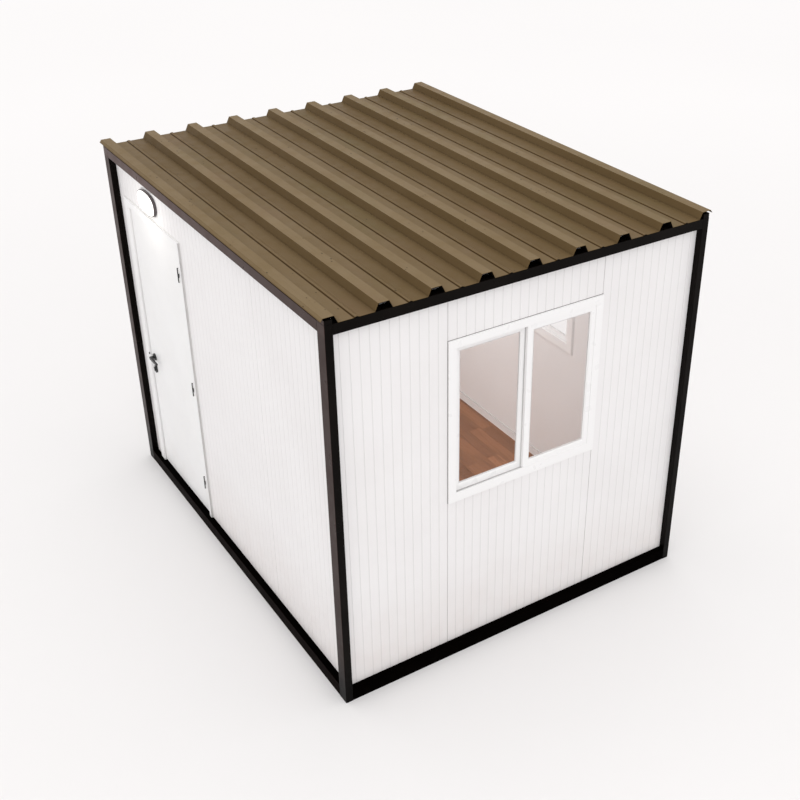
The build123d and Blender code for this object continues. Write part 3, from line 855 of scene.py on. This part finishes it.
def door_seals():
    """Grey sealant round the casing, and the rubber that the shut leaf rests near."""
    low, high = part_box("door_frame")
    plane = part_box("left_wall_middle")[0].x
    bead = ((0.0, -0.003), (0.0, 0.0042), (0.0018, 0.0036), (0.0046, 0.0004), (0.0050, -0.003))
    mesh = bmesh.new()
    add_rim(mesh, "left", plane, (low.y, low.z), (high.y, high.z), bead, open_foot=True)
    piece("casing_sealant", mesh, sealant)

    leaf_low, leaf_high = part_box("door_leaf")
    plane = leaf_high.x + LEAF_CLEARANCE
    stop_low = leaf_low.y - LEAF_CLEARANCE + STOP_WIDTH
    stop_high = leaf_high.y + LEAF_CLEARANCE - STOP_WIDTH
    head = leaf_high.z + LEAF_CLEARANCE - STOP_WIDTH
    middle, half_width, foot, bulge, steps = 0.0060, 0.0035, 0.0010, 0.0030, 6
    bulb = [(middle - half_width, 0.0)]
    for step in range(steps + 1):
        turn = math.pi * step / steps
        bulb.append((middle - half_width * math.cos(turn), foot + bulge * math.sin(turn)))
    bulb.append((middle + half_width, 0.0))
    mesh = bmesh.new()
    add_rim(mesh, "left", plane, (stop_low, low.z), (stop_high, head), bulb, open_foot=True)
    piece("door_gasket", mesh, dark_rubber, smooth=True)


def window_brushes(side):
    """Pile strips: one down the lap of the sashes and one along the empty half of the outer track; their
    grey is also painted shade in the lap gap and the track.
    """
    across, out, sign = WALLS[side]
    frame_low, frame_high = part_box(f"{side}_window_frame")
    middle = (frame_low[across] + frame_high[across]) / 2
    sashes = sorted(solids(f"{side}_window_sashes"), key=lambda box: sign * box[0][out])
    inner, outer = sashes[0], sashes[-1]
    inner_face = inner[1][out] if sign > 0 else inner[0][out]
    outer_back = outer[0][out] if sign > 0 else outer[1][out]
    gap = abs(outer_back - inner_face)
    reach_right = (outer[0][across] + outer[1][across]) / 2 > middle
    edge = outer[0][across] if reach_right else outer[1][across]
    far = inner[0][across] if reach_right else inner[1][across]
    way = -1 if reach_right else 1
    pile, short_of_end, shelf, corner = 0.0045, 0.0070, 0.0075, 0.0006
    track = outer[0].z - SASH_CLEARANCE
    mesh = bmesh.new()
    for near_edge, far_edge, foot, head, thick in (
        (edge, edge + way * pile, inner[0].z + short_of_end, inner[1].z - short_of_end, gap),
        (edge, far, track, track + shelf, gap + 0.0012),
    ):
        first, last = sorted((near_edge, far_edge))
        centre = ((first + last) / 2, (foot + head) / 2)
        outline = rounded_bar(centre, (last - first) / 2, (head - foot) / 2, corner, 2)
        add_plate(mesh, side, inner_face, outline, [(1.0, 0.0002), (1.0, thick - 0.0003)])
    piece(f"{side}_window_brushes", mesh, brush_pile)


for side in ("front", "right"):
    window_seals(side)
    window_brushes(side)
door_seals()


# Lock, latch and hinge details
def add_disc(mesh, centre, along, radius, height):
    """A low round head with a rolled edge."""
    roll = min(height * 0.6, radius * 0.3)
    profile = [(0.0, 0.0), (radius, 0.0), (radius, height - roll)]
    profile += [
        (radius - roll * (1 - math.cos(turn)), height - roll + roll * math.sin(turn))
        for turn in (0.5, 1.0, math.pi / 2)
    ]
    profile.append((0.0, height))
    add_turned(mesh, profile, centre, along)


def lock_details():
    """Profile cylinders on both faces of the leaf, each with a round plug split by its keyway."""
    foot_of_roses = 0.93
    plates = [box for box in solids("lock_plates") if box[1].z < foot_of_roses]
    outer, inner = plates[0], plates[-1]
    middle_y = (outer[0].y + outer[1].y) / 2
    middle_z = (outer[0].z + outer[1].z) / 2
    bore, stem, plug, rise = 0.0085, 0.0050, 0.0064, 0.0080
    plug_centre = (middle_y, middle_z + 0.0080)
    stem_centre = (middle_y, middle_z - 0.0115)
    outline = arc(plug_centre, bore, -54, 288, 24)
    outline += arc(stem_centre, stem, 180, 180, 8)
    for name, side, plane, out in (
        ("lock_cylinder_outside", "left", outer[0].x, -1),
        ("lock_cylinder_inside", "right", inner[1].x, 1),
    ):
        mesh = bmesh.new()
        add_plate(mesh, side, plane, outline, [(1.0, -0.0005), (1.0, 0.0068), (0.93, rise)])
        for half in (-1, 1):
            half_disc = arc(plug_centre, plug, 90 - 12 * half, -156 * half, 12)
            face = plane + out * rise
            sections = [(1.0, -PIECE_SINK), (1.0, 0.0003), (0.94, 0.0006)]
            add_plate(mesh, side, face, half_disc, sections)
        piece(name, mesh, black_metal, body="door")


def latch_faceplate(middle_x, middle_z, spindle_z):
    """Plate with the latch and the bolt on the leaf's edge, held by two screws."""
    leaf_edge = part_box("door_leaf")[1].y
    bolt_z = spindle_z - 0.090
    plate = [(1.0, -PIECE_SINK), (1.0, 0.0007), (0.985, 0.0010)]
    latch = [(1.0, 0.0005), (0.95, 0.0020), (0.60, 0.0026)]
    bolt = [(1.0, 0.0005), (1.0, 0.0020), (0.93, 0.0024)]
    mesh = bmesh.new()
    for up, half_width, half_height, corner, sections in (
        (middle_z, 0.010, 0.105, 0.0095, plate),
        (spindle_z, 0.0060, 0.011, 0.0015, latch),
        (bolt_z, 0.0065, 0.015, 0.0010, bolt),
    ):
        outline = rounded_bar((middle_x, up), half_width, half_height, corner)
        add_plate(mesh, "back", leaf_edge, outline, sections)
    plate_face, screw_radius, screw_height, screw_reach = leaf_edge + 0.0008, 0.0036, 0.0008, 0.092
    for up in (screw_reach, -screw_reach):
        add_disc(mesh, (middle_x, plate_face, middle_z + up), (0, 1, 0), screw_radius, screw_height)
    piece("latch_faceplate", mesh, bright_metal, body="door")


def strike(middle_x, middle_z, spindle_z):
    """Painted strike plate in the casing, and its dark lip beside the latch."""
    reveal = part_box("door_leaf")[1].y + LEAF_CLEARANCE
    casing_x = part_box("door_frame")[0].x
    plate_end = middle_x + 0.012
    centre = ((casing_x + plate_end) / 2 + 0.0015, middle_z)
    half_width, half_height, corner = (plate_end - casing_x) / 2 - 0.003, 0.100, 0.004
    outline = rounded_bar(centre, half_width, half_height, corner)
    mesh = bmesh.new()
    add_plate(mesh, "front", reveal, outline, [(1.0, -PIECE_SINK), (1.0, 0.0008), (0.985, 0.0010)])
    piece("strike_plate", mesh, door_finish)

    lip_half = 0.007
    lip = (
        (0.004, -0.0010),
        (0.001, -0.0012),
        (-0.0016, 0.0004),
        (-0.0026, 0.0040),
        (-0.0016, 0.0080),
        (-0.0002, 0.0080),
        (-0.0012, 0.0040),
        (-0.0002, 0.0012),
        (0.004, 0.0004),
    )
    mesh = bmesh.new()
    rings = [
        [mesh.verts.new((casing_x + x, reveal + y, spindle_z + end)) for x, y in lip]
        for end in (-lip_half, lip_half)
    ]
    join_rings(mesh, rings, capped=True)
    piece("strike_lip", mesh, cap_metal)


def hinge_caps():
    """Small turned finials at the ends of the hinge pins."""
    profile = [(0.0, -PIECE_SINK), (0.0046, -PIECE_SINK), (0.0050, 0.0006), (0.0044, 0.0018)]
    profile += [(0.0026, 0.0030), (0.0, 0.0034)]
    mesh = bmesh.new()
    for low, high in solids("door_hinge_pins"):
        for end, way in ((low.z, -1), (high.z, 1)):
            add_turned(mesh, profile, (pin_x, pin_y, end), (0, 0, way))
    piece("hinge_caps", mesh, cap_metal, smooth=True)


leaf_low, leaf_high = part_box("door_leaf")
leaf_middle = (leaf_low.x + leaf_high.x) / 2
spindle_height = max((low.z + high.z) / 2 for low, high in solids("lock_plates"))
plate_middle = spindle_height - FACEPLATE_DROP
lock_details()
latch_faceplate(leaf_middle, plate_middle, spindle_height)
strike(leaf_middle, plate_middle, spindle_height)
hinge_caps()


# Studio
def studio_floor():
    """Pale matt floor that glows a little more the farther it is from the booth."""
    look = Look("studio floor", Roughness=0.9, Specular_IOR_Level=0.0)
    tone = look.mix(look.noise(0.25, 2.0), (0.706, 0.694, 0.690), (0.722, 0.710, 0.706))
    look.set("Base Color", tone)
    rays = look.add("ShaderNodeLightPath")
    seen = look.math("MAXIMUM", rays.outputs["Is Camera Ray"], rays.outputs["Is Glossy Ray"])
    seen = look.math("MAXIMUM", seen, rays.outputs["Is Transmission Ray"])
    across, along = look.axis("X"), look.axis("Y")
    square = look.math("ADD", look.math("MULTIPLY", across, across), look.math("MULTIPLY", along, along))
    away = look.math("SQRT", square)
    near, far = look.remap(away, 3.0, 11.0, 0.115, 0.19), look.remap(away, 11.0, 45.0, 0.0, 0.10)
    glow = look.math("ADD", near, far)
    look.set("Emission Color", (1.0, 0.995, 0.998, 1.0))
    look.set("Emission Strength", look.math("MULTIPLY", seen, glow))
    mesh = bmesh.new()
    bmesh.ops.create_circle(mesh, cap_ends=True, segments=96, radius=70.0)
    sheet = bpy.data.meshes.new("studio_floor")
    mesh.to_mesh(sheet)
    mesh.free()
    sheet.materials.append(look.material)
    ground = bpy.data.objects.new("studio_floor", sheet)
    bpy.context.scene.collection.objects.link(ground)


def studio_sky():
    world = bpy.data.worlds.new("studio")
    world.use_nodes = True
    sky = world.node_tree.nodes["Background"]
    sky.inputs["Color"].default_value = (1.0, 0.992, 0.992, 1.0)
    sky.inputs["Strength"].default_value = 1.09
    bpy.context.scene.world = world


def add_light(name, kind, place, power, color):
    """Links a light that lights the scene but isn't seen itself."""
    light = bpy.data.lights.new(name, kind)
    light.energy = power
    light.color = color
    holder = bpy.data.objects.new(name, light)
    holder.location = place
    holder.visible_camera = False
    holder.visible_glossy = False
    holder.visible_transmission = False
    bpy.context.scene.collection.objects.link(holder)
    return holder


def add_disc_light(name, place, aim, size, power, color=(1.0, 1.0, 1.0)):
    holder = add_light(name, "AREA", place, power, color)
    holder.data.shape = "DISK"
    holder.data.size = size
    holder.rotation_euler = (Vector(aim) - Vector(place)).to_track_quat("-Z", "Y").to_euler()


def studio_lights():
    """Two soft lights over the booth, two inside it and the glow of its lamp."""
    add_disc_light("top_softbox", (0.3, 0.2, 9.0), (0.1, 0.0, 1.2), 7.0, 90.0)
    add_disc_light("front_softbox", (-2.4, -4.4, 7.5), (0.0, 0.0, 1.0), 6.0, 50.0)
    cool, pale = (0.985, 1.0, 1.0), (1.0, 0.995, 0.985)
    add_disc_light("room_light", (0.0, 0.25, 2.28), (0.0, 0.25, 0.0), 1.9, 16.5, cool)
    add_disc_light("room_fill", (-1.0, 0.45, 0.55), (1.12, 0.55, 0.35), 0.9, 8.8, pale)
    low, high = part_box("lamp_diffuser")
    place = (low.x - 0.20, (low.y + high.y) / 2 - 0.03, low.z + 0.03)
    glow = add_light("lamp_glow", "POINT", place, 1.1, (1.0, 0.97, 0.90))
    glow.data.shadow_soft_size = 0.03


studio_floor()
studio_sky()
studio_lights()


# Camera at the photograph's viewpoint, solved from the booth's edges in the picture
def camera():
    picture_pixels, sensor_width = 800, 36.0
    focal_pixels, centre_across, centre_down = 1170.5, 444.91, 400.21
    pitch_down, yaw_right = math.radians(30.952), math.radians(33.084)
    view = bpy.data.cameras.new("photo_view")
    view.sensor_width = sensor_width
    view.sensor_fit = "HORIZONTAL"
    view.lens = focal_pixels / picture_pixels * sensor_width
    view.shift_x = -(centre_across - picture_pixels / 2) / picture_pixels
    view.shift_y = (centre_down - picture_pixels / 2) / picture_pixels
    view.clip_end = 300.0
    spot = bpy.data.objects.new("photo_view", view)
    spot.location = (-3.3303, -5.7799, 4.8286)
    spot.rotation_euler = (math.pi / 2 - pitch_down, 0.0, -yaw_right)
    bpy.context.scene.collection.objects.link(spot)
    bpy.context.scene.camera = spot


camera()
bpy.context.scene.view_settings.view_transform = "Standard"
